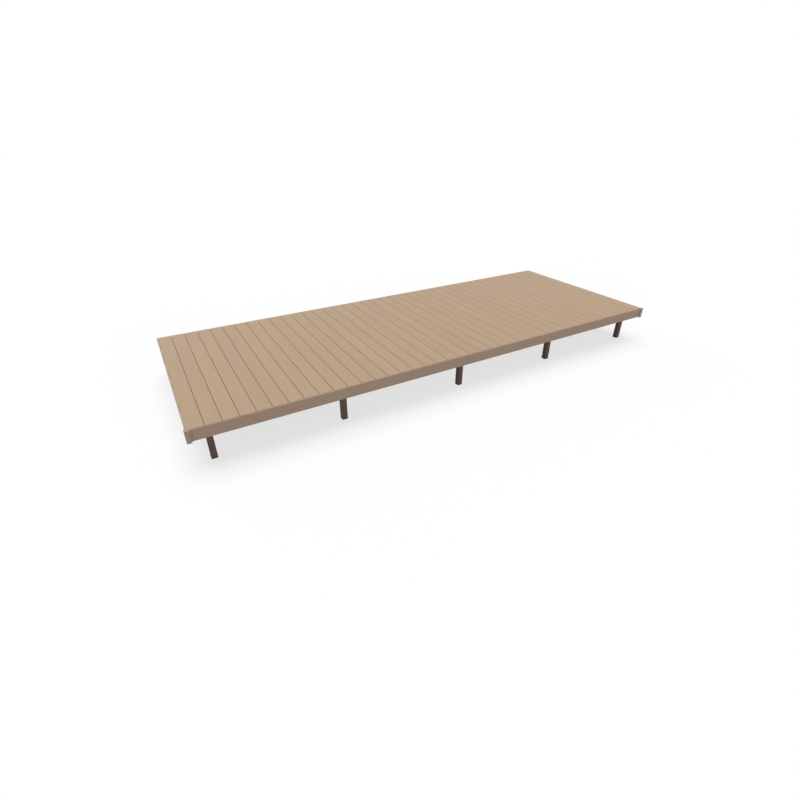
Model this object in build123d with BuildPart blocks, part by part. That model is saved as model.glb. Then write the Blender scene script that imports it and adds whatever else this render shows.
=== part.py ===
from build123d import *
import os

os.makedirs("parts", exist_ok=True)

# A low composite deck: hollow boards laid front to back on an aluminium frame.
# X runs along the long front, Y runs from the front to the house side, Z is up.
# The origin is on the ground, below the middle of the overall outline.

# Walking surface
deck_height = 455
board_width = 146
board_thickness = 25
board_length = 2244
board_gap = 4
board_count = 40
boards_per_group = 5

# Hollow section of a board
board_wall = 5
board_web = 4.5
board_chambers = 5
board_edge_break = 1
clip_groove_depth = 8
clip_groove_height = 5

# Lip along the right edge of a board, which closes the gap under the next board
lip_thickness = 4
lip_overlap = 7
lip_end_clearance = 2
lip_top_clearance = 0.8

# Fascia round the front and the two ends
fascia_height = 120
fascia_thickness = 12
fascia_gap = 2
side_gap = 1
fascia_wall = 2.5
fascia_chambers = 4
fascia_edge_break = 1.5
fascia_end_cap = 2.5
fascia_plug_length = 12

# Moulded caps over the two front corners
cap_proud = 11
cap_reach = 35
cap_wall = 3
cap_drop = 8
cap_corner_radius = 4
cap_rib = 2.5
cap_rib_place = 12

# Joists: rectangular tubes along the front, under the boards
joist_count = 6
joist_width = 50
joist_height = 40
joist_wall = 2.2
joist_top_wall = 3.2
joist_groove_width = 8
joist_groove_depth = 1
joist_inset = 45
joist_end_gap = 10

# Bearers: square tubes from front to back, on the posts
bearer_width = 50
bearer_height = 50
bearer_wall = 2.5
bearer_front_gap = 10
bearer_back_inset = 20
bearer_cap = 3
bearer_plug_length = 15

# Posts: five lines of three square tubes
post_size = 60
post_wall = 3
post_corner_radius = 4
post_setback = 140
end_post_inset = 183
left_bay = 1325
second_bay = 1492
third_bay = 1418

# Feet and saddles that plug into the posts
foot_thickness = 10
foot_corner = 2.5
spigot_length = 25
spigot_wall = 3
saddle_plate = 4
saddle_ear_height = 30
saddle_ear_wall = 4
saddle_length = 58
saddle_ear_corner = 8

# Angle cleats that hold the joists down on the bearers
cleat_leg = 30
cleat_width = 40
cleat_thickness = 3

# Flat brackets that carry the fascia
bracket_thickness = 3
bracket_leg = 35
bracket_grip = 35
bracket_top_gap = 2
bracket_bottom_gap = 10

# Clearances
plug_clearance = 0.3
side_clearance = 0.2

# Plan of the deck
board_pitch = board_width + board_gap
boards_width = board_count * board_pitch - board_gap
deck_width = boards_width + 2 * (side_gap + fascia_thickness)
deck_depth = board_length + fascia_gap + fascia_thickness
left_x = -deck_width / 2
right_x = deck_width / 2
front_y = -(deck_depth + cap_proud) / 2 + cap_proud
back_y = front_y + deck_depth
fascia_back_y = front_y + fascia_thickness
fascia_inner_x = right_x - fascia_thickness
board_front_y = back_y - board_length

# Levels from the top down
board_bottom_z = deck_height - board_thickness
joist_bottom_z = board_bottom_z - joist_height
bearer_bottom_z = joist_bottom_z - bearer_height
post_top_z = bearer_bottom_z - saddle_plate
fascia_bottom_z = deck_height - fascia_height

# Lines of posts along X, and rows of posts along Y
line_x = [left_x + end_post_inset]
for bay in (left_bay, second_bay, third_bay):
    line_x.append(line_x[-1] + bay)
line_x.append(right_x - end_post_inset)
front_row_y = front_y + post_setback + post_size / 2
rear_row_y = back_y - post_setback - post_size / 2
middle_row_y = (front_row_y + rear_row_y) / 2
rows = {"front": front_row_y, "middle": middle_row_y, "rear": rear_row_y}

# Joists along Y: the first and last carry the ends of the boards
first_joist_y = board_front_y + joist_inset
last_joist_y = back_y - joist_inset
joist_spacing = (last_joist_y - first_joist_y) / (joist_count - 1)
joist_y = [first_joist_y + joist_spacing * i for i in range(joist_count)]

# Every fixing of a joist is on its side that faces the middle of the deck
deck_middle_y = (board_front_y + back_y) / 2
joist_inward = [1 if y < deck_middle_y else -1 for y in joist_y]


def save(builder, label):
    """Label the finished piece and write it to its own file."""
    builder.part.label = label
    export_step(builder.part, f"parts/{label}.step")


# Deck boards
# Each board is an extrusion with a clip groove in both edges and five chambers.
# The chambers share the width that is left between the grooves. A lip along the
# right edge reaches under a rebate in the next board, so no gap is open below.
chamber_zone = board_width - 2 * (clip_groove_depth + board_web)
chamber_width = (chamber_zone - (board_chambers - 1) * board_web) / board_chambers
chamber_height = board_thickness - 2 * board_wall
lip_length = board_gap + lip_overlap
rebate_depth = lip_overlap + lip_end_clearance
rebate_height = lip_thickness + lip_top_clearance

with BuildSketch() as board_section:
    Rectangle(board_width, board_thickness)
    with Locations((board_width / 2, -board_thickness / 2)):
        Rectangle(lip_length, lip_thickness, align=(Align.MIN, Align.MIN))
    chamfer(board_section.vertices().group_by(Axis.Y)[-1], board_edge_break)
    chamfer(board_section.vertices().group_by(Axis.X)[-1], board_edge_break)
    with Locations((-board_width / 2, -board_thickness / 2)):
        Rectangle(rebate_depth, rebate_height, align=(Align.MIN, Align.MIN), mode=Mode.SUBTRACT)
    with GridLocations(board_width, board_thickness, 2, 1):
        Rectangle(2 * clip_groove_depth, clip_groove_height, mode=Mode.SUBTRACT)
    with GridLocations(chamber_width + board_web, chamber_height, board_chambers, 1):
        Rectangle(chamber_width, chamber_height, mode=Mode.SUBTRACT)

# The boards are laid in groups, counted from the left end. The last board has no
# neighbour, so its lip is sawn off flush.
group_count = board_count // boards_per_group
group_width = boards_per_group * board_pitch
first_group_x = -boards_width / 2 + (group_width - board_gap) / 2
for group in range(group_count):
    group_x = first_group_x + group * group_width
    board_middle_z = deck_height - board_thickness / 2
    group_ends = Plane(origin=(group_x, back_y, board_middle_z), x_dir=(1, 0, 0), z_dir=(0, -1, 0))
    with BuildPart() as deck_boards:
        with BuildSketch(group_ends):
            with GridLocations(board_pitch, board_pitch, boards_per_group, 1):
                add(board_section.sketch)
        extrude(amount=board_length)
        if group == group_count - 1:
            with Locations((boards_width / 2, back_y, deck_height)):
                offcut = (Align.MIN, Align.MAX, Align.MAX)
                Box(lip_length, board_length, board_thickness, align=offcut, mode=Mode.SUBTRACT)
    save(deck_boards, f"deck_boards_{group + 1}")

# Fascia section
# A thin hollow plank on edge, with its outline centred on the sketch origin.
fascia_chamber_height = (fascia_height - (fascia_chambers + 1) * fascia_wall) / fascia_chambers
fascia_chamber_width = fascia_thickness - 2 * fascia_wall
fascia_chamber_pitch = fascia_chamber_height + fascia_wall
fascia_middle_z = deck_height - fascia_height / 2

with BuildSketch() as fascia_section:
    Rectangle(fascia_thickness, fascia_height)
    chamfer(fascia_section.vertices(), fascia_edge_break)
    with GridLocations(fascia_thickness, fascia_chamber_pitch, 1, fascia_chambers):
        Rectangle(fascia_chamber_width, fascia_chamber_height, mode=Mode.SUBTRACT)

# The front plank covers the ends of the two side planks.
front_middle_y = front_y + fascia_thickness / 2
front_start = Plane(origin=(left_x, front_middle_y, fascia_middle_z), x_dir=(0, 1, 0), z_dir=(1, 0, 0))
with BuildPart() as front_fascia:
    with BuildSketch(front_start):
        add(fascia_section.sketch)
    extrude(amount=deck_width)
save(front_fascia, "front_fascia")

# The side planks run from the back of the front plank to their end caps.
side_end_y = back_y - fascia_end_cap
side_length = side_end_y - fascia_back_y
for side, name in ((-1, "left"), (1, "right")):
    side_x = side * (right_x - fascia_thickness / 2)
    side_end = Plane(origin=(side_x, side_end_y, fascia_middle_z), x_dir=(1, 0, 0), z_dir=(0, -1, 0))
    with BuildPart() as side_fascia:
        with BuildSketch(side_end):
            add(fascia_section.sketch)
        extrude(amount=side_length)
    save(side_fascia, f"{name}_fascia")

# End caps close the side planks at the house side, with a plug in every chamber.
with BuildPart() as fascia_end_caps:
    for side in (-1, 1):
        side_x = side * (right_x - fascia_thickness / 2)
        cap_face = Plane(origin=(side_x, back_y, fascia_middle_z), x_dir=(1, 0, 0), z_dir=(0, -1, 0))
        with BuildSketch(cap_face) as cap_plate:
            Rectangle(fascia_thickness, fascia_height)
            chamfer(cap_plate.vertices(), fascia_edge_break)
        extrude(amount=fascia_end_cap)
        with BuildSketch(cap_face.offset(fascia_end_cap)):
            with GridLocations(fascia_thickness, fascia_chamber_pitch, 1, fascia_chambers):
                plug_width = fascia_chamber_width - 2 * plug_clearance
                plug_height = fascia_chamber_height - 2 * plug_clearance
                Rectangle(plug_width, plug_height)
        extrude(amount=fascia_plug_length)
save(fascia_end_caps, "fascia_end_caps")


# Corner caps
# Each is an L in plan that stands proud of both planks and drops below them.
def corner_outline(wall):
    """Outline of the left cap in plan, its outer faces and ends drawn in by a wall."""
    outer_x = left_x - cap_proud + wall
    outer_y = front_y - cap_proud + wall
    end_x = left_x + cap_reach - wall
    end_y = front_y + cap_reach - wall
    return [
        (outer_x, outer_y),
        (end_x, outer_y),
        (end_x, front_y),
        (left_x, front_y),
        (left_x, end_y),
        (outer_x, end_y),
    ]


cap_bottom_z = fascia_bottom_z - cap_drop
lip_bottom_z = fascia_bottom_z - cap_wall
with BuildPart() as left_corner_cap:
    with BuildSketch(Plane.XY.offset(cap_bottom_z)) as cap_plan:
        Polygon(*corner_outline(0), align=None)
        outer_corner = cap_plan.vertices().sort_by(Axis.X).sort_by(Axis.Y)[0]
        fillet(outer_corner, cap_corner_radius)
    extrude(amount=deck_height - cap_bottom_z)
    # The moulding is open towards the planks, between its top and its lip.
    with BuildSketch(Plane.XY.offset(fascia_bottom_z)):
        Polygon(*corner_outline(cap_wall), align=None)
    extrude(amount=fascia_height - cap_wall, mode=Mode.SUBTRACT)
    # Below the lip only the outer skirt goes on down.
    with BuildSketch(Plane.XY.offset(cap_bottom_z)):
        Polygon(*corner_outline(cap_wall), align=None)
    extrude(amount=cap_drop - cap_wall, mode=Mode.SUBTRACT)
    # The lip turns in under both planks.
    with BuildSketch(Plane.XY.offset(lip_bottom_z)):
        with Locations((left_x, front_y)):
            Rectangle(cap_reach, fascia_thickness, align=(Align.MIN, Align.MIN))
            Rectangle(fascia_thickness, cap_reach, align=(Align.MIN, Align.MIN))
    extrude(amount=cap_wall)
    # One rib in each leg bears on the plank behind it.
    with BuildSketch(Plane.XY.offset(fascia_bottom_z)):
        with Locations((left_x + cap_rib_place, front_y)):
            Rectangle(cap_rib, cap_proud - cap_wall, align=(Align.MIN, Align.MAX))
        with Locations((left_x, front_y + cap_rib_place)):
            Rectangle(cap_proud - cap_wall, cap_rib, align=(Align.MAX, Align.MIN))
    extrude(amount=fascia_height - cap_wall)
save(left_corner_cap, "left_corner_cap")

with BuildPart() as right_corner_cap:
    add(left_corner_cap.part)
    mirror(about=Plane.YZ, mode=Mode.REPLACE)
save(right_corner_cap, "right_corner_cap")

# Joists
# A tube with a thicker top and a shallow groove that guides the clip screws.
joist_middle_z = joist_bottom_z + joist_height / 2
joist_hollow_height = joist_height - joist_wall - joist_top_wall
joist_hollow_shift = (joist_wall - joist_top_wall) / 2
joist_length = deck_width - 2 * (fascia_thickness + joist_end_gap)
for i, y in enumerate(joist_y):
    joist_end = Plane(origin=(-joist_length / 2, y, joist_middle_z), x_dir=(0, 1, 0), z_dir=(1, 0, 0))
    with BuildPart() as joist:
        with BuildSketch(joist_end):
            Rectangle(joist_width, joist_height)
            with Locations((0, joist_hollow_shift)):
                Rectangle(joist_width - 2 * joist_wall, joist_hollow_height, mode=Mode.SUBTRACT)
            with Locations((0, joist_height / 2)):
                Rectangle(joist_groove_width, 2 * joist_groove_depth, mode=Mode.SUBTRACT)
        extrude(amount=joist_length)
    save(joist, f"joist_{i + 1}")

# Bearers
# Square tubes between their end caps, one over each line of posts.
bearer_front_y = fascia_back_y + bearer_front_gap
bearer_back_y = back_y - bearer_back_inset
tube_front_y = bearer_front_y + bearer_cap
tube_back_y = bearer_back_y - bearer_cap
bearer_middle_z = bearer_bottom_z + bearer_height / 2
for i, x in enumerate(line_x):
    bearer_end = Plane(origin=(x, tube_back_y, bearer_middle_z), x_dir=(1, 0, 0), z_dir=(0, -1, 0))
    with BuildPart() as bearer:
        with BuildSketch(bearer_end):
            Rectangle(bearer_width, bearer_height)
            hollow_width = bearer_width - 2 * bearer_wall
            hollow_height = bearer_height - 2 * bearer_wall
            Rectangle(hollow_width, hollow_height, mode=Mode.SUBTRACT)
        extrude(amount=tube_back_y - tube_front_y)
    save(bearer, f"bearer_{i + 1}")

with BuildPart() as bearer_end_caps:
    for x in line_x:
        front_cap = Plane(origin=(x, tube_front_y, bearer_middle_z), x_dir=(1, 0, 0), z_dir=(0, -1, 0))
        back_cap = Plane(origin=(x, tube_back_y, bearer_middle_z), x_dir=(1, 0, 0), z_dir=(0, 1, 0))
        with BuildSketch(front_cap, back_cap):
            Rectangle(bearer_width, bearer_height)
        extrude(amount=bearer_cap)
        with BuildSketch(front_cap, back_cap):
            plug_width = bearer_width - 2 * (bearer_wall + plug_clearance)
            plug_height = bearer_height - 2 * (bearer_wall + plug_clearance)
            Rectangle(plug_width, plug_height)
        extrude(amount=-bearer_plug_length)
save(bearer_end_caps, "bearer_end_caps")

# Posts, feet and saddles, one node of each for every row
spigot_size = post_size - 2 * (post_wall + plug_clearance)
post_length = post_top_z - foot_thickness
for row, y in rows.items():
    row_places = [(x, y) for x in line_x]

    # The tube stands on its foot and ends under the saddle.
    with BuildPart() as posts:
        with BuildSketch(Plane.XY.offset(foot_thickness)):
            with Locations(*row_places):
                RectangleRounded(post_size, post_size, post_corner_radius)
                Rectangle(post_size - 2 * post_wall, post_size - 2 * post_wall, mode=Mode.SUBTRACT)
        extrude(amount=post_length)
    save(posts, f"{row}_posts")

    # The foot is as wide as the post, with a hollow spigot inside it.
    with BuildPart() as post_feet:
        with BuildSketch(Plane.XY) as foot_plan:
            with Locations(*row_places):
                Rectangle(post_size, post_size)
            chamfer(foot_plan.vertices(), foot_corner)
        extrude(amount=foot_thickness)
        with BuildSketch(Plane.XY.offset(foot_thickness)):
            with Locations(*row_places):
                Rectangle(spigot_size, spigot_size)
                Rectangle(spigot_size - 2 * spigot_wall, spigot_size - 2 * spigot_wall, mode=Mode.SUBTRACT)
        extrude(amount=spigot_length)
    save(post_feet, f"{row}_post_feet")

    # The saddle closes the top of the post and takes the bearer between two ears.
    with BuildPart() as post_saddles:
        with BuildSketch(Plane.XY.offset(post_top_z)):
            with Locations(*row_places):
                Rectangle(post_size, saddle_length)
        extrude(amount=saddle_plate)
        ear_offset = bearer_width / 2 + side_clearance
        for x in line_x:
            for side in (-1, 1):
                inner_face = Plane(
                    origin=(x + side * ear_offset, y, bearer_bottom_z),
                    x_dir=(0, side, 0),
                    z_dir=(side, 0, 0),
                )
                with BuildSketch(inner_face):
                    Polygon(
                        (-saddle_length / 2, 0),
                        (saddle_length / 2, 0),
                        (saddle_length / 2, saddle_ear_height - saddle_ear_corner),
                        (saddle_length / 2 - saddle_ear_corner, saddle_ear_height),
                        (-saddle_length / 2 + saddle_ear_corner, saddle_ear_height),
                        (-saddle_length / 2, saddle_ear_height - saddle_ear_corner),
                        align=None,
                    )
                extrude(amount=saddle_ear_wall)
        with BuildSketch(Plane.XY.offset(post_top_z)):
            with Locations(*row_places):
                Rectangle(spigot_size, spigot_size)
                Rectangle(spigot_size - 2 * spigot_wall, spigot_size - 2 * spigot_wall, mode=Mode.SUBTRACT)
        extrude(amount=-spigot_length)
    save(post_saddles, f"{row}_post_saddles")

# Cleats
# An angle at every crossing, one leg on the bearer and one against the joist.
with BuildPart() as joist_cleats:
    for x in line_x:
        with BuildSketch(Plane.YZ.offset(x - cleat_width / 2)):
            for y, inward in zip(joist_y, joist_inward):
                with Locations((y + inward * joist_width / 2, joist_bottom_z)):
                    Polygon(
                        (0, 0),
                        (inward * cleat_leg, 0),
                        (inward * cleat_leg, cleat_thickness),
                        (inward * cleat_thickness, cleat_thickness),
                        (inward * cleat_thickness, cleat_leg),
                        (0, cleat_leg),
                        align=None,
                    )
        extrude(amount=cleat_width)
save(joist_cleats, "joist_cleats")

# Fascia brackets
# At the front, one leg lies along a bearer and the other stands behind the plank.
front_leg_end_y = bearer_front_y + bearer_cap + bracket_grip
bracket_top_z = board_bottom_z - bracket_top_gap
with BuildPart() as front_fascia_brackets:
    for x in line_x:
        bearer_face_x = x + bearer_width / 2
        with BuildSketch(Plane.XY.offset(bearer_bottom_z)):
            with Locations((bearer_face_x, fascia_back_y)):
                Rectangle(bracket_leg, bracket_thickness, align=(Align.MIN, Align.MIN))
        extrude(amount=bracket_top_z - bearer_bottom_z)
        with BuildSketch(Plane.XY.offset(bearer_bottom_z)):
            with Locations((bearer_face_x, fascia_back_y)):
                grip_length = front_leg_end_y - fascia_back_y
                Rectangle(bracket_thickness, grip_length, align=(Align.MIN, Align.MIN))
        extrude(amount=bearer_height)
save(front_fascia_brackets, "front_fascia_brackets")

# At the sides, one leg lies along a joist and the other stands behind the plank.
bracket_bottom_z = fascia_bottom_z + bracket_bottom_gap
for side, name in ((-1, "left"), (1, "right")):
    plank_face_x = side * fascia_inner_x
    toward_middle = Align.MIN if side < 0 else Align.MAX
    with BuildPart() as side_fascia_brackets:
        for y, inward in zip(joist_y, joist_inward):
            away_from_joist = Align.MIN if inward > 0 else Align.MAX
            joist_face_y = y + inward * joist_width / 2
            with BuildSketch(Plane.XY.offset(bracket_bottom_z)):
                with Locations((plank_face_x, joist_face_y)):
                    Rectangle(bracket_thickness, bracket_leg, align=(toward_middle, away_from_joist))
            extrude(amount=bracket_top_z - bracket_bottom_z)
            with BuildSketch(Plane.XY.offset(joist_bottom_z)):
                with Locations((plank_face_x, joist_face_y)):
                    grip_length = joist_end_gap + bracket_grip
                    Rectangle(grip_length, bracket_thickness, align=(toward_middle, away_from_joist))
            extrude(amount=bracket_top_z - joist_bottom_z)
    save(side_fascia_brackets, f"{name}_fascia_brackets")
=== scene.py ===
# %% [markdown]
# # A composite deck, dressed in Blender
# The construction comes packed: every board, joist, bearer, post and bracket is
# already a solid at its real size and place. This lesson loads them as a fixed
# frame, sets the view and the light, mixes one finish for each material of the
# real deck, and adds the small fixings that a CAD model leaves out.

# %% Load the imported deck
import math

import bmesh
import bpy
from mathutils import Matrix, Vector


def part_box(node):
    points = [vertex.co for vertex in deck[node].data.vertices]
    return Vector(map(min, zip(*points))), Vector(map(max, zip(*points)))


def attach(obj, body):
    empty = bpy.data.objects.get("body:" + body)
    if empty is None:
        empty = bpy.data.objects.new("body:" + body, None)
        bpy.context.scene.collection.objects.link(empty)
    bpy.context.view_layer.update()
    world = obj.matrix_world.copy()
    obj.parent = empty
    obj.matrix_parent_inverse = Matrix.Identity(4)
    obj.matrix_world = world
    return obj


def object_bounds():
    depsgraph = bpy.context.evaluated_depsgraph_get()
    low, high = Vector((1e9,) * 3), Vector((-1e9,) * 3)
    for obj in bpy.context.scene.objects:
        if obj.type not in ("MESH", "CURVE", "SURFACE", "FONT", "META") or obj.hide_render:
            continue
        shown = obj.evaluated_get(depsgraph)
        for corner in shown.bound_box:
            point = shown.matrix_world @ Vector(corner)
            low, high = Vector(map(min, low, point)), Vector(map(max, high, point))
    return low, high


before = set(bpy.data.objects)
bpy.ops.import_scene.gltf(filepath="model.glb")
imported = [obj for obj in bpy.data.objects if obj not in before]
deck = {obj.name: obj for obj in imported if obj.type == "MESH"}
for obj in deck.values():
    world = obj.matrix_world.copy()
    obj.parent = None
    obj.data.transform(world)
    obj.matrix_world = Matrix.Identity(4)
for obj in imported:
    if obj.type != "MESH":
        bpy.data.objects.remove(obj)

cad_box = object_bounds()
cad_size = cad_box[1] - cad_box[0]
print(f"{len(deck)} nodes, {cad_size.x:.3f} by {cad_size.y:.3f} by {cad_size.z:.3f} m")

# %% [markdown]
# ## The places that everything else follows
# The frame knows where each piece lies, so no place is typed twice. The lines of
# the bearers, the joists and the gaps between boards are read from the boxes of
# their nodes. Only what a box can't tell, such as the gap, is given here.

# %% Read the lines of the bearers, joists and posts
MM = 0.001
ROWS = ("front", "middle", "rear")


def nodes_named(start, other_than=None):
    """Names of the deck's nodes that begin with these letters, in order, but for one."""
    return sorted(name for name in deck if name.startswith(start) and name != other_than)


bearer_names = nodes_named("bearer_", other_than="bearer_end_caps")
joist_names = nodes_named("joist_", other_than="joist_cleats")
bearer_boxes = [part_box(name) for name in bearer_names]
joist_boxes = [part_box(name) for name in joist_names]
line_x = [(low.x + high.x) / 2 for low, high in bearer_boxes]
row_y = []
for row in ROWS:
    low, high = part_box(f"{row}_posts")
    row_y.append((low.y + high.y) / 2)
print("bearers at x =", [round(x, 3) for x in line_x])
print("posts at y =", [round(y, 3) for y in row_y])

# %% Find the gaps between the boards
BOARD_GAP = 4 * MM
BOARDS_IN_A_NODE = 5

board_groups = [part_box(name) for name in nodes_named("deck_boards_")]
first_board_x = board_groups[0][0].x
last_board_x = board_groups[-1][1].x
board_pitch = (board_groups[1][0].x - first_board_x) / BOARDS_IN_A_NODE
board_count = round((last_board_x - first_board_x + BOARD_GAP) / board_pitch)
line_before_first = first_board_x - BOARD_GAP / 2
gap_x = [line_before_first + board_pitch * (i + 1) for i in range(board_count - 1)]
print(f"{board_count} boards at a pitch of {board_pitch / MM:.0f} mm, {len(gap_x)} gaps")

# %% [markdown]
# ## The view
# A wide view close to a long object makes its far end shrink and its posts lean,
# and no later crop can copy that. The camera therefore stands where the edges,
# the board lines and the posts all meet their places at once: level with the left
# end, 3.6 m in front of the fascia and 2.2 m above it, turned 30 degrees to the
# right and tipped down 31 degrees.

# %% Set the camera
VIEW_PIXELS = 800
FOCAL_PIXELS = 457.7
SENSOR_MM = 36
VIEW_TURN = 30.007
VIEW_TILT = 31.028
CAMERA_FROM_CORNER = Vector((-0.0138, -3.6461, 2.2109))
NEAREST_SEEN = 0.05
FARTHEST_SEEN = 500

front_low, front_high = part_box("front_fascia")
front_left_top = Vector((front_low.x, front_low.y, front_high.z))

camera_data = bpy.data.cameras.new("deck_view")
camera_data.sensor_width = SENSOR_MM
camera_data.lens = FOCAL_PIXELS / VIEW_PIXELS * SENSOR_MM
camera_data.clip_start = NEAREST_SEEN
camera_data.clip_end = FARTHEST_SEEN
camera = bpy.data.objects.new("deck_view", camera_data)
camera.location = front_left_top + CAMERA_FROM_CORNER
camera.rotation_euler = (math.radians(90 - VIEW_TILT), 0, math.radians(-VIEW_TURN))
bpy.context.scene.collection.objects.link(camera)
bpy.context.scene.camera = camera
bpy.context.scene.view_settings.view_transform = "Standard"
print(f"lens {camera_data.lens:.2f} mm, camera at {tuple(round(v, 3) for v in camera.location)}")

# %% [markdown]
# ## The light
# Wide suns stand in for soft boxes, because a sun lights a six metre deck evenly
# from end to end. The overhead one lights the boards to about their own colour,
# and is so wide that it reaches down between them: the gaps turn brown, not black.
# The low front one reaches the fascia and in under it to the posts. The one from
# the left opens up the shaded sides of the posts. It is lower still and narrow, so
# that its light passes between the ground and the edge of the deck. A weak one
# keeps the house side from going black. The sky is plain grey for lighting, and
# white only where it is seen.

# %% Hang the lights
OVERHEAD_LIGHT = 2.27
FRONT_LIGHT = 0.62
LEFT_LIGHT = 0.46
BACK_LIGHT = 0.35


def add_sun(name, strength, spread, toward):
    """A sun of some spread, in degrees, that stands in the direction given."""
    lamp = bpy.data.lights.new(name, "SUN")
    lamp.energy = strength
    lamp.angle = math.radians(spread)
    holder = bpy.data.objects.new(name, lamp)
    holder.rotation_mode = "QUATERNION"
    holder.rotation_quaternion = Vector(toward).to_track_quat("Z", "Y")
    bpy.context.scene.collection.objects.link(holder)
    print(f"{name}: strength {strength}, {spread} degrees wide")


add_sun("overhead_light", OVERHEAD_LIGHT, spread=60, toward=(0.0, 0.18, 1.0))
add_sun("front_light", FRONT_LIGHT, spread=25, toward=(0.28, -1.0, 0.22))
add_sun("left_light", LEFT_LIGHT, spread=12, toward=(-1.0, -0.55, 0.13))
add_sun("back_light", BACK_LIGHT, spread=30, toward=(-0.35, 1.0, 0.35))


# %% Tell what is seen from what gives light
def seen_or_mirrored(tree):
    """1 on rays from the camera, or off metal or through glass, and 0 on all others."""
    path = tree.nodes.new("ShaderNodeLightPath")
    total = path.outputs["Is Camera Ray"]
    for other in ("Is Glossy Ray", "Is Transmission Ray"):
        joined = tree.nodes.new("ShaderNodeMath")
        joined.operation = "MAXIMUM"
        tree.links.new(total, joined.inputs[0])
        tree.links.new(path.outputs[other], joined.inputs[1])
        total = joined.outputs[0]
    return total


# %% Colour a shader, and blend two
WHITE = (1, 1, 1, 1)


def coloured(tree, kind, colour):
    """A shader of one kind, such as a glow or a dull white, in one colour."""
    shader = tree.nodes.new(kind)
    shader.inputs["Color"].default_value = colour
    return shader


def blended(tree, first, second):
    """Two shaders in one. What goes into its first input is the share of the second."""
    choice = tree.nodes.new("ShaderNodeMixShader")
    tree.links.new(first.outputs[0], choice.inputs[1])
    tree.links.new(second.outputs[0], choice.inputs[2])
    return choice


# %% Make the sky
SKY_LEVEL = 0.20
SEEN_WHITE_LEVEL = 1

sky = bpy.data.worlds.new("studio_sky")
sky.use_nodes = True
sky_tree = sky.node_tree
sky_tree.nodes.clear()
sky_light = coloured(sky_tree, "ShaderNodeBackground", WHITE)
sky_light.inputs["Strength"].default_value = SKY_LEVEL
sky_seen = coloured(sky_tree, "ShaderNodeBackground", WHITE)
sky_seen.inputs["Strength"].default_value = SEEN_WHITE_LEVEL
sky_choice = blended(sky_tree, sky_light, sky_seen)
sky_tree.links.new(seen_or_mirrored(sky_tree), sky_choice.inputs[0])
sky_out = sky_tree.nodes.new("ShaderNodeOutputWorld")
sky_tree.links.new(sky_choice.outputs[0], sky_out.inputs["Surface"])
bpy.context.scene.world = sky
print(f"a sky that lights at {SKY_LEVEL} and is seen at {SEEN_WHITE_LEVEL}")

# %% [markdown]
# ## The floor
# The deck stands on plain ground, so the floor is one large sheet. Part of its
# white glows by itself, which keeps it white to the horizon, and the rest is lit,
# which is what lets the shadow of the deck and of its posts fall on it. For the
# light it throws back up at the deck it is only a mid grey.

# %% Lay the floor
FLOOR_HALF = 60

floor_mesh = bpy.data.meshes.new("floor")
corner_signs = ((-1, -1), (1, -1), (1, 1), (-1, 1))
floor_corners = [(x * FLOOR_HALF, y * FLOOR_HALF, 0) for x, y in corner_signs]
floor_mesh.from_pydata(floor_corners, [], [(0, 1, 2, 3)])
floor = bpy.data.objects.new("floor", floor_mesh)
bpy.context.scene.collection.objects.link(floor)
print(f"a floor {2 * FLOOR_HALF} m wide")

# %% Make the floor white, with room for a shadow
SHADOW_SHARE = 0.30
FLOOR_BOUNCE = 0.36

floor_finish = bpy.data.materials.new("floor_white")
floor_finish.use_nodes = True
floor_tree = floor_finish.node_tree
floor_tree.nodes.clear()
floor_glow = coloured(floor_tree, "ShaderNodeEmission", WHITE)
floor_lit = coloured(floor_tree, "ShaderNodeBsdfDiffuse", WHITE)
floor_seen = blended(floor_tree, floor_glow, floor_lit)
floor_seen.inputs[0].default_value = SHADOW_SHARE
floor_grey = (FLOOR_BOUNCE, FLOOR_BOUNCE, FLOOR_BOUNCE, 1)
floor_bounce = coloured(floor_tree, "ShaderNodeBsdfDiffuse", floor_grey)
floor_choice = blended(floor_tree, floor_bounce, floor_seen)
floor_tree.links.new(seen_or_mirrored(floor_tree), floor_choice.inputs[0])
floor_out = floor_tree.nodes.new("ShaderNodeOutputMaterial")
floor_tree.links.new(floor_choice.outputs[0], floor_out.inputs["Surface"])
floor_mesh.materials.append(floor_finish)
print(f"{SHADOW_SHARE:.0%} of its white is lit, and the rest glows")

# %% [markdown]
# ## Tools for mixing a finish
# Every finish below is wired from the same few steps: stretch the object's own
# coordinates, make a noise in them, shift its range, and add it to another. Short
# helpers for these steps keep each recipe readable. All scales are per metre, so
# a scale of 1000 makes marks about a millimetre wide. A noise seldom comes near 0
# or 1, so a recipe that wants the whole of a range takes what lies between 0.3 and
# 0.7 as its ends.


# %% Start a finish
def new_finish(name, colour, roughness, metallic=0.0, specular=0.5):
    """A new material with its shader set to plain values, and its node tree."""
    finish = bpy.data.materials.new(name)
    finish.use_nodes = True
    shader = finish.node_tree.nodes["Principled BSDF"]
    shader.inputs["Base Color"].default_value = (*colour, 1)
    shader.inputs["Roughness"].default_value = roughness
    shader.inputs["Metallic"].default_value = metallic
    shader.inputs["Specular IOR Level"].default_value = specular
    return finish, finish.node_tree, shader


def object_place(tree):
    """The place of a point in the object's own coordinates."""
    return tree.nodes.new("ShaderNodeTexCoord").outputs["Object"]


def axes(tree, place):
    """X, Y and Z of a place, each as a number of its own."""
    step = tree.nodes.new("ShaderNodeSeparateXYZ")
    tree.links.new(place, step.inputs[0])
    return step.outputs


# %% Combine numbers and vectors
def number(tree, operation, first, second=None, third=None):
    """One arithmetic step. Each input is a socket or a plain number."""
    step = tree.nodes.new("ShaderNodeMath")
    step.operation = operation
    for slot, value in enumerate((first, second, third)):
        if value is None:
            continue
        if isinstance(value, (int, float)):
            step.inputs[slot].default_value = value
        else:
            tree.links.new(value, step.inputs[slot])
    return step.outputs[0]


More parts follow.
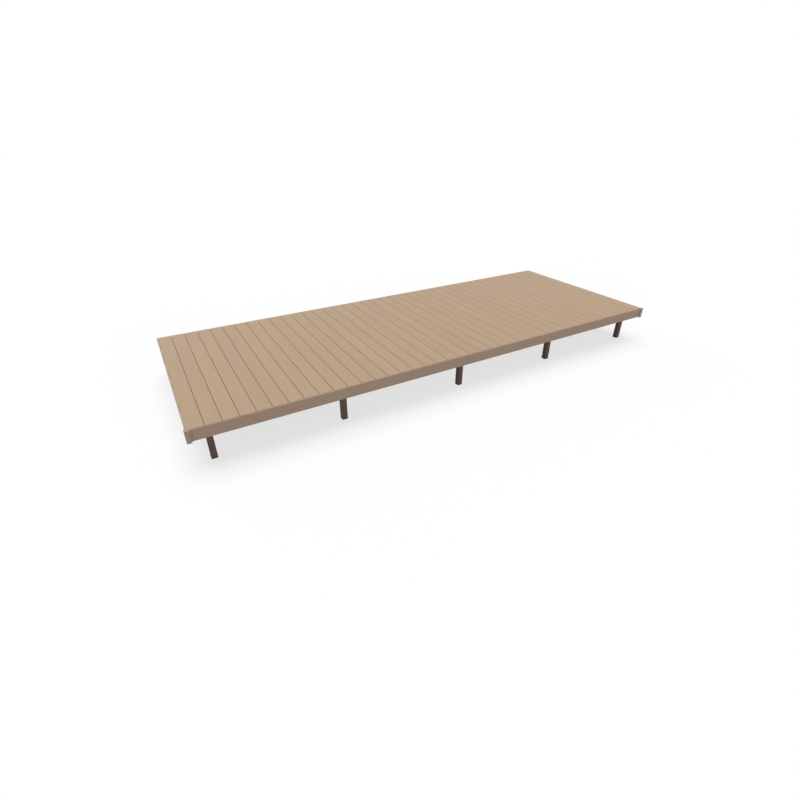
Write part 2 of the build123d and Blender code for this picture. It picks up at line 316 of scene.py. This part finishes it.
def weighed(tree, first, second, share):
    """This share of the first value, and the rest of the second."""
    rest = number(tree, "MULTIPLY", second, 1 - share)
    return number(tree, "MULTIPLY_ADD", first, share, rest)


# %% Make a noise, and move its range
NOISE_LOW = 0.3
NOISE_HIGH = 0.7


def stretched(tree, place, scale):
    """The same place with each axis multiplied by its own scale."""
    step = tree.nodes.new("ShaderNodeMapping")
    step.inputs["Scale"].default_value = scale
    tree.links.new(place, step.inputs["Vector"])
    return step.outputs[0]


def noise(tree, place, scale, detail=2.0, sharpness=0.5):
    """Noise between 0 and 1, with so many marks per metre along each axis."""
    step = tree.nodes.new("ShaderNodeTexNoise")
    step.inputs["Scale"].default_value = 1
    step.inputs["Detail"].default_value = detail
    step.inputs["Roughness"].default_value = sharpness
    tree.links.new(stretched(tree, place, scale), step.inputs["Vector"])
    return step.outputs[0]


def grained(tree, place, along, marks, detail=2.0, sharpness=0.5):
    """Noise with a grain along X or Y: so many marks per metre across it and along it."""
    across, lengthwise = marks
    scale = (lengthwise, across, across) if along == "X" else (across, lengthwise, across)
    return noise(tree, place, scale, detail, sharpness)


def between(tree, value, from_low, from_high, to_low, to_high):
    """A value moved from one range to another, and held inside it."""
    step = tree.nodes.new("ShaderNodeMapRange")
    step.inputs["From Min"].default_value = from_low
    step.inputs["From Max"].default_value = from_high
    step.inputs["To Min"].default_value = to_low
    step.inputs["To Max"].default_value = to_high
    tree.links.new(value, step.inputs["Value"])
    return step.outputs[0]


def ranged(tree, value, low, high):
    """A noise moved to the range between two limits."""
    return between(tree, value, NOISE_LOW, NOISE_HIGH, low, high)


# %% Turn a number into colour, and heights into relief
def mixed(tree, share, first, second):
    """The first colour, with this share of the second in its place."""
    step = tree.nodes.new("ShaderNodeMix")
    step.data_type = "RGBA"
    tree.links.new(share, step.inputs["Factor"])
    for slot, colour in (("A", first), ("B", second)):
        if isinstance(colour, tuple):
            step.inputs[slot].default_value = (*colour, 1)
        else:
            tree.links.new(colour, step.inputs[slot])
    return step.outputs["Result"]


def shaded(tree, tone, colour, swing):
    """A colour made darker by the swing where the tone is 0, and lighter where it is 1."""
    ramp = tree.nodes.new("ShaderNodeValToRGB")
    for element, factor in zip(ramp.color_ramp.elements, (1 - swing, 1 + swing)):
        element.color = (*(channel * factor for channel in colour), 1)
    tree.links.new(tone, ramp.inputs[0])
    return ramp.outputs[0]


def relief(tree, shader, height, depth, strength):
    """Raise the surface by a height map, whose full range is depth metres."""
    bump = tree.nodes.new("ShaderNodeBump")
    bump.inputs["Strength"].default_value = strength
    bump.inputs["Distance"].default_value = depth
    tree.links.new(height, bump.inputs["Height"])
    tree.links.new(bump.outputs["Normal"], shader.inputs["Normal"])


def dress(names, finish):
    """Give a finish to nodes of the deck."""
    for name in names:
        mesh = deck[name].data
        mesh.materials.clear()
        mesh.materials.append(finish)
    print(f"{finish.name}: {len(names)} nodes")


# %% [markdown]
# ## Composite: boards and fascia
# The boards are wood flour and plastic, pushed through a die and then brushed, so
# the marks run along each board: brush lines less than a millimetre apart, fibres
# of two or three, short darker flecks of wood, streaks a finger wide, and clouds
# of tone a metre long. Every board leaves the die a little different, so each gets
# its own shade and its own piece of the pattern, picked by its number across the
# deck.
#
# The brush only reaches the top face, so the eased edges, the sides and the underside
# are a little smoother. They, and a strip about 5 mm wide that fades in from each gap,
# are also painted a darker, browner tan. This is painted shade, which makes the lines
# between the boards look brown, and not just shaded.

# %% Choose the colours and marks of the composite
BOARD_TAN = (0.460, 0.329, 0.221)
# Painted shade: a darker, browner tan for the board edges, sides, underside and the strips
# beside the gaps.
BOARD_GAP_SHADE = (0.442, 0.296, 0.176)
FASCIA_TAN = (0.458, 0.330, 0.243)
BOARD_SWING = 0.20
GAP_SHADE_SWING = 0.10
COMPOSITE_ROUGH = (0.52, 0.70)
EDGE_SMOOTHER = 0.12
GRAIN_DEPTH = 0.4 * MM

# Marks per metre, across the grain and along it.
BRUSH_MARKS = (1500, 9)
FIBRE_MARKS = (420, 7)
FLECK_MARKS = (520, 45)
STREAK_MARKS = (70, 1.6)
CLOUD_MARKS = (9, 0.8)

# How much of the tone each kind of mark makes.
BRUSH_TONE = 0.20
FIBRE_TONE = 0.26
FLECK_TONE = -0.16
STREAK_TONE = 0.14
CLOUD_TONE = 0.30
OWN_TONE = 0.07
MIDDLE_SHADE = 0.5

# Only the peaks of a noise make flecks: none at the first value, full at the second.
FLECK_START = 0.60
FLECK_FULL = 0.74

for kind, (across, lengthwise) in (("brush lines", BRUSH_MARKS), ("flecks", FLECK_MARKS)):
    print(f"{kind} {1 / across / MM:.1f} mm wide and {1 / lengthwise / MM:.0f} mm long")

# %% Give every board its own shade and place in the pattern
PATTERN_SHIFT = 9.0


def board_shades(tree, place):
    """The count of boards from the left, a chance value for each, and its place in the grain."""
    across = axes(tree, place)["X"]
    start = -line_before_first / board_pitch
    boards_in = number(tree, "MULTIPLY_ADD", across, 1 / board_pitch, start)
    chance = tree.nodes.new("ShaderNodeTexWhiteNoise")
    chance.noise_dimensions = "1D"
    tree.links.new(number(tree, "FLOOR", boards_in), chance.inputs["W"])
    along = number(tree, "MULTIPLY", chance.outputs["Value"], PATTERN_SHIFT)
    shift = tree.nodes.new("ShaderNodeCombineXYZ")
    tree.links.new(along, shift.inputs[1])
    moved = tree.nodes.new("ShaderNodeVectorMath")
    tree.links.new(place, moved.inputs[0])
    tree.links.new(shift.outputs[0], moved.inputs[1])
    return boards_in, chance.outputs["Value"], moved.outputs[0]


# %% Mask the painted shade on a board's edges, sides and underside
EDGE_STRIP = 5 * MM
BRUSH_DEPTH = 0.6 * MM
board_top = cad_box[1].z


# Painted shade falls where this is 1: in the gaps and along them.
def board_gap_shade(tree, place, boards_in):
    """1 on a board's sides and underside, fading to 0 in from the edges of its top."""
    from_line = number(tree, "PINGPONG", boards_in, 0.5)
    strip_start = BOARD_GAP / 2 / board_pitch
    strip_end = (BOARD_GAP / 2 + EDGE_STRIP) / board_pitch
    strip = between(tree, from_line, strip_start, strip_end, 1.0, 0.0)
    height = axes(tree, place)["Z"]
    below = between(tree, height, board_top - BRUSH_DEPTH, board_top - BRUSH_DEPTH / 2, 1.0, 0.0)
    return number(tree, "MAXIMUM", strip, below)


# %% Put the composite together
def composite(name, tan, along, gap_shade_tan=None):
    """Brushed composite with its grain along X or Y. Given a tan of painted shade, it is cut
    into boards, with that shade along the gaps.
    """
    finish, tree, shader = new_finish(name, tan, roughness=0.6, specular=0.2)
    place = object_place(tree)
    grain_place = place
    own_shade = MIDDLE_SHADE
    if gap_shade_tan:
        boards_in, own_shade, grain_place = board_shades(tree, place)
    brush = grained(tree, grain_place, along, BRUSH_MARKS, detail=3.0, sharpness=0.6)
    fibres = grained(tree, grain_place, along, FIBRE_MARKS)
    streaks = grained(tree, grain_place, along, STREAK_MARKS)
    clouds = grained(tree, grain_place, along, CLOUD_MARKS)
    fleck_noise = grained(tree, grain_place, along, FLECK_MARKS, detail=1.0)
    flecks = between(tree, fleck_noise, FLECK_START, FLECK_FULL, 0.0, 1.0)
    tone = number(tree, "MULTIPLY", brush, BRUSH_TONE)
    tone = number(tree, "MULTIPLY_ADD", fibres, FIBRE_TONE, tone)
    tone = number(tree, "MULTIPLY_ADD", streaks, STREAK_TONE, tone)
    tone = number(tree, "MULTIPLY_ADD", clouds, CLOUD_TONE, tone)
    tone = number(tree, "MULTIPLY_ADD", flecks, FLECK_TONE, tone)
    tone = number(tree, "MULTIPLY_ADD", own_shade, OWN_TONE, tone)
    colour = shaded(tree, tone, tan, BOARD_SWING)
    rough = ranged(tree, fibres, *COMPOSITE_ROUGH)
    if gap_shade_tan:
        # Painted shade along the gaps; the surface there is also a little smoother.
        gap_shade = board_gap_shade(tree, place, boards_in)
        colour = mixed(tree, gap_shade, colour, shaded(tree, tone, gap_shade_tan, GAP_SHADE_SWING))
        rough = number(tree, "MULTIPLY_ADD", gap_shade, -EDGE_SMOOTHER, rough)
    tree.links.new(colour, shader.inputs["Base Color"])
    tree.links.new(rough, shader.inputs["Roughness"])
    relief(tree, shader, weighed(tree, fibres, brush, share=0.5), GRAIN_DEPTH, strength=0.5)
    return finish


dress(nodes_named("deck_boards_"), composite("brushed_board", BOARD_TAN, "Y", BOARD_GAP_SHADE))
dress(["front_fascia"], composite("front_fascia_board", FASCIA_TAN, "X"))
dress(["left_fascia", "right_fascia"], composite("side_fascia_board", FASCIA_TAN, "Y"))

# %% [markdown]
# ## Moulded caps
# The corner caps and the end caps of the side planks are injection moulded in the
# same tan, with the even, faint grain that a sparked steel mould leaves. The grain
# is only a tenth of a millimetre deep, so relief carries it, and the colour stays
# nearly flat.


# %% Mix the moulded plastics
MOULD_SWING = 0.14
MOULD_DRIFT = 18
MOULD_SMOOTHER = 0.06
MOULD_ROUGHER = 0.08


def moulded(name, colour, roughness, grain, depth):
    """Plastic from a mould with so many pebbles per metre, and a slow drift of tone."""
    finish, tree, shader = new_finish(name, colour, roughness, specular=0.12)
    place = object_place(tree)
    pebble = noise(tree, place, (grain, grain, grain))
    drift = noise(tree, place, (MOULD_DRIFT, MOULD_DRIFT, MOULD_DRIFT), detail=3.0)
    tone = weighed(tree, pebble, drift, share=0.4)
    tree.links.new(shaded(tree, tone, colour, MOULD_SWING), shader.inputs["Base Color"])
    rough = ranged(tree, drift, roughness - MOULD_SMOOTHER, roughness + MOULD_ROUGHER)
    tree.links.new(rough, shader.inputs["Roughness"])
    relief(tree, shader, pebble, depth, strength=0.5)
    return finish


# %% Finish the caps, the feet and the plugs
CAP_TAN = (0.447, 0.338, 0.256)
FOOT_BROWN = (0.052, 0.040, 0.034)
PLUG_BLACK = (0.022, 0.021, 0.020)

cap_finish = moulded("moulded_tan", CAP_TAN, roughness=0.52, grain=1400, depth=0.15 * MM)
foot_finish = moulded("moulded_brown", FOOT_BROWN, roughness=0.6, grain=1000, depth=0.2 * MM)
plug_finish = moulded("moulded_plug", PLUG_BLACK, roughness=0.5, grain=1200, depth=0.2 * MM)
dress(["left_corner_cap", "right_corner_cap", "fascia_end_caps"], cap_finish)
dress([f"{row}_post_feet" for row in ROWS], foot_finish)
dress(["bearer_end_caps"], plug_finish)

# %% [markdown]
# ## Coated posts
# The posts are aluminium tube with a baked dark brown coat. Such a coat has a
# faint orange peel a few millimetres across, a slightly uneven sheen, and a little
# dust from splashes near the ground. The dust fades out with height, which is why
# the recipe reads the height of each point.

# %% Mix the coat
POST_BROWN = (0.174, 0.114, 0.094)
DUST_TAN = (0.30, 0.25, 0.20)
COAT_SWING = 0.15
COAT_ROUGH = (0.36, 0.46)
PEEL_DEPTH = 0.12 * MM

# Marks per metre along X, Y and Z.
PEEL = (420, 420, 420)
COAT_DRIFT = (30, 30, 12)
DUST_SPECKS = (260, 260, 180)

# Specks of dust: none at the first value of their noise, their full share at the second.
DUST_START = 0.45
DUST_FULL = 0.75
DUST_SHARE = 0.45
DUST_ROUGHER = 0.8
SPLASH_HEIGHT = 0.14


def splash_dust(tree, place):
    """The share of dust at a place: specks that thin out up to the splash height."""
    near_ground = between(tree, axes(tree, place)["Z"], 0.0, SPLASH_HEIGHT, 1.0, 0.0)
    speck_noise = noise(tree, place, DUST_SPECKS, detail=4.0, sharpness=0.7)
    specks = between(tree, speck_noise, DUST_START, DUST_FULL, 0.0, DUST_SHARE)
    return number(tree, "MULTIPLY", near_ground, specks)


def brown_coat(name):
    """A baked coat with a faint orange peel, and dust near the ground."""
    finish, tree, shader = new_finish(name, POST_BROWN, roughness=0.42, specular=0.05)
    place = object_place(tree)
    peel = noise(tree, place, PEEL, detail=1.0)
    drift = noise(tree, place, COAT_DRIFT, detail=3.0)
    dust = splash_dust(tree, place)
    coat = shaded(tree, drift, POST_BROWN, COAT_SWING)
    tree.links.new(mixed(tree, dust, coat, DUST_TAN), shader.inputs["Base Color"])
    rough = number(tree, "MULTIPLY_ADD", dust, DUST_ROUGHER, ranged(tree, drift, *COAT_ROUGH))
    tree.links.new(rough, shader.inputs["Roughness"])
    relief(tree, shader, peel, PEEL_DEPTH, strength=0.6)
    return finish


post_finish = brown_coat("brown_coat")
dress([f"{row}_posts" for row in ROWS], post_finish)

# %% [markdown]
# ## Bare metal under the boards
# Joists and bearers are extruded aluminium with no coat. The die draws fine lines
# along their length, and these lines, not the colour, are what makes a bar look
# extruded: they spread each reflection sideways. The steel saddles, cleats and
# brackets are dipped in zinc, which freezes in crystals about a centimetre wide,
# each a slightly different grey, so a cell pattern carries them.


# %% Mix the aluminium
MILL_GREY = (0.50, 0.50, 0.51)
METAL_SWING = 0.35
MILL_ROUGH = (0.30, 0.42)

# Marks per metre, across the bar and along it.
DIE_LINES = (900, 2.5)
DIE_HAZE = (14, 3)
DIE_LINE_DEPTH = 0.1 * MM
DIE_LINE_ROUGHER = 0.12


def mill_aluminium(name, along):
    """Extruded aluminium with die lines along X or Y."""
    finish, tree, shader = new_finish(name, MILL_GREY, roughness=0.4, metallic=1.0)
    place = object_place(tree)
    lines = grained(tree, place, along, DIE_LINES, detail=3.0, sharpness=0.7)
    haze = grained(tree, place, along, DIE_HAZE, detail=3.0)
    tone = weighed(tree, lines, haze, share=0.6)
    tree.links.new(shaded(tree, tone, MILL_GREY, METAL_SWING), shader.inputs["Base Color"])
    haze_rough = ranged(tree, haze, *MILL_ROUGH)
    rough = number(tree, "MULTIPLY_ADD", lines, DIE_LINE_ROUGHER, haze_rough)
    tree.links.new(rough, shader.inputs["Roughness"])
    relief(tree, shader, lines, DIE_LINE_DEPTH, strength=0.5)
    return finish


dress(joist_names, mill_aluminium("joist_aluminium", "X"))
dress(bearer_names, mill_aluminium("bearer_aluminium", "Y"))

# %% Mix the zinc
ZINC_GREY = (0.44, 0.45, 0.46)
ZINC_ROUGH = (0.42, 0.62)
CRYSTALS = 110
BLOOM = (60, 60, 60)
BLOOM_DEPTH = 0.2 * MM


def zinc_coat(name):
    """Steel with a dull zinc coat, in crystals about a centimetre wide."""
    finish, tree, shader = new_finish(name, ZINC_GREY, roughness=0.5, metallic=0.85)
    place = object_place(tree)
    crystals = tree.nodes.new("ShaderNodeTexVoronoi")
    crystals.inputs["Scale"].default_value = CRYSTALS
    tree.links.new(place, crystals.inputs["Vector"])
    shade = tree.nodes.new("ShaderNodeSeparateColor")
    tree.links.new(crystals.outputs["Color"], shade.inputs[0])
    bloom = noise(tree, place, BLOOM, detail=4.0, sharpness=0.65)
    tone = weighed(tree, shade.outputs[0], bloom, share=0.65)
    tree.links.new(shaded(tree, tone, ZINC_GREY, METAL_SWING), shader.inputs["Base Color"])
    tree.links.new(ranged(tree, bloom, *ZINC_ROUGH), shader.inputs["Roughness"])
    relief(tree, shader, bloom, BLOOM_DEPTH, strength=0.3)
    return finish


zinc = zinc_coat("zinc_coat")
saddle_names = [f"{row}_post_saddles" for row in ROWS]
bracket_names = ["front_fascia_brackets", "left_fascia_brackets", "right_fascia_brackets"]
dress(["joist_cleats", *saddle_names, *bracket_names], zinc)

# %% [markdown]
# ## Small fixings
# A deck is held by hundreds of screws. A model of each as its own object would be
# slow to place and slow to draw, so one head is shaped once, as a stack of rings,
# and its points are copied to every place in a single mesh. A ring is round or
# six-sided with the same number of points, so washer, flange and hexagon join
# into one closed skin. A screw stops wherever it is tight, so each head is turned
# by an angle of its own: its place times a factor large enough to look like chance.

# %% Shape a head from rings
RING_POINTS = 24
HEX_SIDE_ANGLE = math.pi / 3


def ring(shape, radius, height):
    """Points of one ring, in mm: round, or a hexagon whose flats are radius away."""
    points = []
    for i in range(RING_POINTS):
        angle = 2 * math.pi * i / RING_POINTS
        reach = radius * MM
        if shape == "hex":
            half_side = HEX_SIDE_ANGLE / 2
            from_flat = (angle + half_side) % HEX_SIDE_ANGLE - half_side
            reach = reach / math.cos(from_flat)
        points.append(Vector((reach * math.cos(angle), reach * math.sin(angle), height * MM)))
    return points


def stacked(rings):
    """Points and faces of a closed skin through a stack of rings."""
    points = [point for one in rings for point in one]
    faces = [tuple(reversed(range(RING_POINTS)))]
    for level in range(len(rings) - 1):
        base = level * RING_POINTS
        above = base + RING_POINTS
        for i in range(RING_POINTS):
            after = (i + 1) % RING_POINTS
            faces.append((base + i, base + after, above + after, above + i))
    top = (len(rings) - 1) * RING_POINTS
    faces.append(tuple(range(top, top + RING_POINTS)))
    return points, faces


# %% Copy one shape to many places
def facing(place, direction, turn):
    """A frame at a place, its own Z along a direction, turned about it in radians."""
    aim = Vector(direction).to_track_quat("Z", "Y").to_matrix().to_4x4()
    return Matrix.Translation(Vector(place)) @ aim @ Matrix.Rotation(turn, 4, "Z")


def scattered(name, shape, places, finish):
    """One mesh with a copy of the shape at every place, riding on the deck."""
    shape_points, shape_faces = shape
    points = []
    faces = []
    for place in places:
        start = len(points)
        points.extend(place @ point for point in shape_points)
        faces.extend(tuple(start + i for i in face) for face in shape_faces)
    mesh = bpy.data.meshes.new(name)
    mesh.from_pydata(points, [], faces)
    mesh.materials.append(finish)
    piece = bpy.data.objects.new(name, mesh)
    bpy.context.scene.collection.objects.link(piece)
    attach(piece, "root")
    print(f"{name}: {len(places)} copies, {sum(len(face) - 2 for face in faces)} triangles")


# %% [markdown]
# ### Washer-head screws
# Thin steel is joined to aluminium by self-drilling screws, with a hexagon 8 mm
# across on a thin flange. Two go through each leg of a cleat or bracket, and each
# head lies flat on the leg it holds.

# %% Shape the screw head
screw_head = stacked([
    ring("round", 5.4, 0),
    ring("round", 5.5, 0.5),
    ring("round", 4.9, 1.1),
    ring("hex", 4.0, 1.3),
    ring("hex", 4.0, 4.4),
    ring("round", 3.8, 5.0),
    ring("round", 2.6, 4.7),
])
print(f"a screw head has {len(screw_head[0])} points")

# %% Screw the cleats
CLEAT_THICKNESS = 3 * MM
CLEAT_SCREW_SPREAD = 11 * MM
FLAT_LEG_SCREW = 18 * MM
UPRIGHT_LEG_SCREW = 18 * MM
TURN_BY_LINE = 37
TURN_BY_JOIST = 91
TURN_BY_SPREAD = 500

deck_middle_y = (joist_boxes[0][0].y + joist_boxes[-1][1].y) / 2


def inner_face(low, high):
    """Which way a joist's inner face looks, toward the middle of the deck, and its Y."""
    if (low.y + high.y) / 2 < deck_middle_y:
        return 1, high.y
    return -1, low.y


cleat_screws = []
for low, high in joist_boxes:
    inward, face_y = inner_face(low, high)
    for x in line_x:
        for spread in (-CLEAT_SCREW_SPREAD, CLEAT_SCREW_SPREAD):
            turn = (x * TURN_BY_LINE + face_y * TURN_BY_JOIST + spread * TURN_BY_SPREAD) % 1
            on_bearer = (x + spread, face_y + inward * FLAT_LEG_SCREW, low.z + CLEAT_THICKNESS)
            cleat_screws.append(facing(on_bearer, (0, 0, 1), turn))
            on_joist = (x + spread, face_y + inward * CLEAT_THICKNESS, low.z + UPRIGHT_LEG_SCREW)
            cleat_screws.append(facing(on_joist, (0, inward, 0), turn))
scattered("cleat_screws", screw_head, cleat_screws, zinc)

# %% Screw the front fascia's brackets
BRACKET_THICKNESS = 3 * MM
BRACKET_LEG_MIDDLE = 20 * MM
BRACKET_EDGE = 20 * MM
GRIP_SCREWS = (20 * MM, 36 * MM)
FRONT_GRIP_TURN = 90
FRONT_PLANK_TURN = 40

bracket_screws = []
bracket_low, bracket_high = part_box("front_fascia_brackets")
for low, high in bearer_boxes:
    middle_z = (low.z + high.z) / 2
    for reach in GRIP_SCREWS:
        on_bearer = (high.x + BRACKET_THICKNESS, front_high.y + reach, middle_z)
        bracket_screws.append(facing(on_bearer, (1, 0, 0), reach * FRONT_GRIP_TURN))
    for z in (bracket_low.z + BRACKET_EDGE, bracket_high.z - BRACKET_EDGE):
        on_plank = (high.x + BRACKET_LEG_MIDDLE, front_high.y + BRACKET_THICKNESS, z)
        bracket_screws.append(facing(on_plank, (0, 1, 0), z * FRONT_PLANK_TURN))
print(f"{len(bracket_screws)} screws in the front brackets")

# %% Screw the side planks' brackets
SIDE_BRACKET_LOWER_EDGE = 15 * MM
SIDE_GRIP_TURN = 70
SIDE_PLANK_TURN = 55

bracket_low, bracket_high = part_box("left_fascia_brackets")
left_plank_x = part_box("left_fascia")[1].x
right_plank_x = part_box("right_fascia")[0].x
for low, high in joist_boxes:
    inward, face_y = inner_face(low, high)
    middle_z = (low.z + high.z) / 2
    for side, plank_x in ((1, left_plank_x), (-1, right_plank_x)):
        for reach in GRIP_SCREWS:
            on_joist = (plank_x + side * reach, face_y + inward * BRACKET_THICKNESS, middle_z)
            bracket_screws.append(facing(on_joist, (0, inward, 0), reach * SIDE_GRIP_TURN))
        leg_x = plank_x + side * BRACKET_THICKNESS
        leg_y = face_y + inward * BRACKET_LEG_MIDDLE
        for z in (bracket_low.z + SIDE_BRACKET_LOWER_EDGE, bracket_high.z - BRACKET_EDGE):
            bracket_screws.append(facing((leg_x, leg_y, z), (side, 0, 0), z * SIDE_PLANK_TURN))
scattered("bracket_screws", screw_head, bracket_screws, zinc)

# %% Screw the posts to their saddles and feet
POST_SCREW_FROM_END = 13 * MM
POST_SCREW_TURN = 20

post_screws = []
post_low, post_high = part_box("front_posts")
post_half = (post_high.y - post_low.y) / 2
for x in line_x:
    for y in row_y:
        for z in (post_low.z + POST_SCREW_FROM_END, post_high.z - POST_SCREW_FROM_END):
            for side in (-1, 1):
                on_post = (x + side * post_half, y, z)
                post_screws.append(facing(on_post, (side, 0, 0), x + z * POST_SCREW_TURN))
scattered("post_screws", screw_head, post_screws, post_finish)

# %% [markdown]
# ### Saddle bolts
# Each bearer is clamped between the ears of its saddles by bolts with 13 mm
# heads on wide washers, two through each ear. They are the largest fixings, and
# the ones that show when somebody looks under the deck.

# %% Shape the bolt head
bolt_head = stacked([
    ring("round", 8.5, 0),
    ring("round", 8.5, 1.6),
    ring("round", 6.7, 1.7),
    ring("hex", 6.5, 1.9),
    ring("hex", 6.5, 6.6),
    ring("round", 6.2, 7.3),
    ring("round", 5.6, 7.4),
])
print(f"a bolt head has {len(bolt_head[0])} points")

# %% Bolt the bearers to their saddles
EAR_CLEARANCE = 0.2 * MM
EAR_THICKNESS = 4 * MM
BOLT_SPREAD = 13 * MM
BOLT_HEIGHT = 15 * MM
BOLT_TURN_BY_LINE = 7
BOLT_TURN_BY_SPREAD = 900

ear_out = EAR_CLEARANCE + EAR_THICKNESS
saddle_bolts = []
for low, high in bearer_boxes:
    for y in row_y:
        for spread in (-BOLT_SPREAD, BOLT_SPREAD):
            for side, face_x in ((-1, low.x), (1, high.x)):
                on_ear = (face_x + side * ear_out, y + spread, low.z + BOLT_HEIGHT)
                turn = face_x * BOLT_TURN_BY_LINE + spread * BOLT_TURN_BY_SPREAD
                saddle_bolts.append(facing(on_ear, (side, 0, 0), turn))
scattered("saddle_bolts", bolt_head, saddle_bolts, zinc)

# %% [markdown]
# ### Hidden board clips
# The boards show no screws. A lip along one edge of each board closes the gap
# below, and over every joist a clip stands on that lip, with two wings in the
# grooves of the boards beside it and one small screw down through lip and joist.
# From above only a dark glint shows in the gap. A clip is a short piece of one
# section, so it is an extrusion, with its edges eased.

# %% Draw the clip's section
# In mm, out from the middle of the clip and up from the top of the joist.
CLIP_STEM = 1.7
CLIP_REACH = 8.6
CLIP_FOOT = 4
CLIP_WING = 10.2
CLIP_TOP = 12.4

clip_half = [
    (CLIP_STEM, CLIP_FOOT),
    (CLIP_STEM, CLIP_WING),
    (CLIP_REACH, CLIP_WING),
    (CLIP_REACH, CLIP_TOP),
]
clip_section = clip_half + [(-x, z) for x, z in reversed(clip_half)]
print(f"{len(clip_section)} corners in the clip's section")


# %% Draw it out to a clip
CLIP_LENGTH = 30 * MM
CLIP_EDGE = 0.25 * MM


def extruded(section, length, edge):
    """Points and faces of a section in X and Z mm, drawn out along Y, edges eased.

    The bevel leaves them in an order that changes from run to run. So both lists are
    sorted, and each face starts at its lowest point.
    """
    made = bmesh.new()
    start = [made.verts.new((x * MM, -length / 2, z * MM)) for x, z in section]
    face = made.faces.new(start)
    drawn = bmesh.ops.extrude_face_region(made, geom=[face])
    moved = [item for item in drawn["geom"] if isinstance(item, bmesh.types.BMVert)]
    bmesh.ops.translate(made, verts=moved, vec=(0, length, 0))
    bmesh.ops.recalc_face_normals(made, faces=made.faces)
    bmesh.ops.bevel(made, geom=list(made.edges), offset=edge, segments=1, affect="EDGES")
    corners = sorted(made.verts, key=lambda vert: tuple(vert.co))
    order = {vert: i for i, vert in enumerate(corners)}
    points = [vert.co.copy() for vert in corners]
    faces = []
    for one in made.faces:
        face = [order[vert] for vert in one.verts]
        lowest = face.index(min(face))
        faces.append(tuple(face[lowest:] + face[:lowest]))
    made.free()
    return points, sorted(faces)


clip_shape = extruded(clip_section, CLIP_LENGTH, CLIP_EDGE)
print(f"a clip has {len(clip_shape[0])} points")

# %% Set a clip in every gap over every joist
clip_finish = moulded("clip_black", PLUG_BLACK, roughness=0.45, grain=1500, depth=0.1 * MM)
clip_places = []
for x in gap_x:
    for low, high in joist_boxes:
        clip_places.append(Matrix.Translation((x, (low.y + high.y) / 2, high.z)))
scattered("board_clips", clip_shape, clip_places, clip_finish)

# %% Shape and place the clip screws
clip_screw_head = stacked([
    ring("round", 3.4, 0),
    ring("round", 3.6, 0.5),
    ring("round", 3.2, 1.5),
    ring("round", 2.4, 2.0),
    ring("hex", 1.5, 2.0),
    ring("hex", 1.4, 0.8),
])
clip_screws = [place @ Matrix.Translation((0, 0, CLIP_TOP * MM)) for place in clip_places]
scattered("clip_screws", clip_screw_head, clip_screws, zinc)

# %% [markdown]
# ## Measure and finish
# The box of the construction is printed.

# %% Print the size of the construction
print("construction", [round(v, 4) for corner in cad_box for v in corner])
